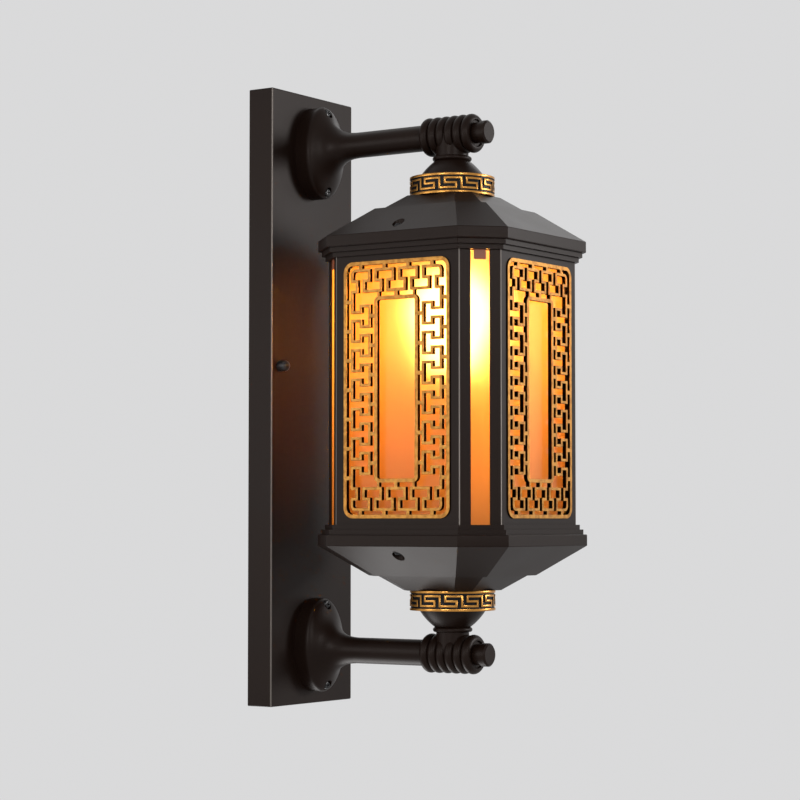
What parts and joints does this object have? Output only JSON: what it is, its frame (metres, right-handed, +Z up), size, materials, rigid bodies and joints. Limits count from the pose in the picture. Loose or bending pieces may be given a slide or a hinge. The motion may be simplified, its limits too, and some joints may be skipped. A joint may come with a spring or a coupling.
{
  "type": "outdoor wall light",
  "caption": "Octagonal lantern wall light with amber panes and fretwork grilles, held between two ribbed arms on a tall open-backed plate.",
  "frame": {"origin": "centre of the wall bracket's two slots, in the wall plane", "axes": "+Z up, +Y into the wall, -Y out of the wall towards the lantern, X across the plate"},
  "size_m": [0.1688, 0.2379, 0.48],
  "materials": {
    "bronze_paint": "satin fine-textured dark bronze paint on cast aluminium",
    "fret_gold": "antique gold brushed on the faces, dark walls",
    "key_band_gold": "antique gold on a raised key, black ground",
    "amber_glass": "frosted amber",
    "zinc_steel": "zinc plated",
    "black_fastener": "blackened steel",
    "brown_clip": "dark brown spring steel",
    "white_plastic": "moulded",
    "white_ceramic": "glazed ceramic",
    "opal_glass": "opal",
    "lead_sheath": "flexible sheath"
  },
  "bodies": {
    "root": {"backplate": "bronze_paint", "base_cover": "bronze_paint", "base_screws": "black_fastener", "body_frame": "bronze_paint", "bracket_studs": "zinc_steel", "bulb": "opal_glass", "cap_nuts": "black_fastener", "corner_clips": "brown_clip", "corner_pane_back_left": "amber_glass", "corner_pane_back_right": "amber_glass", "corner_pane_front_left": "amber_glass", "corner_pane_front_right": "amber_glass", "fret_back": "fret_gold", "fret_front": "fret_gold", "fret_left": "fret_gold", "fret_right": "fret_gold", "lamp_holder": "white_ceramic", "lamp_lead": "lead_sheath", "lower_arm": "bronze_paint", "lower_bell": "bronze_paint", "lower_collar": "bronze_paint", "lower_finial": "bronze_paint", "lower_foot_screws": "black_fastener", "lower_key_band": "key_band_gold", "lower_nipple": "zinc_steel", "mounting_bracket": "zinc_steel", "nipple_nuts": "zinc_steel", "pane_back": "amber_glass", "pane_front": "amber_glass", "pane_left": "amber_glass", "pane_right": "amber_glass", "roof": "bronze_paint", "roof_screws": "black_fastener", "terminal_block": "white_plastic", "upper_arm": "bronze_paint", "upper_bell": "bronze_paint", "upper_collar": "bronze_paint", "upper_finial": "bronze_paint", "upper_foot_screws": "black_fastener", "upper_key_band": "key_band_gold", "upper_nipple": "zinc_steel"}
  },
  "joints": []
}
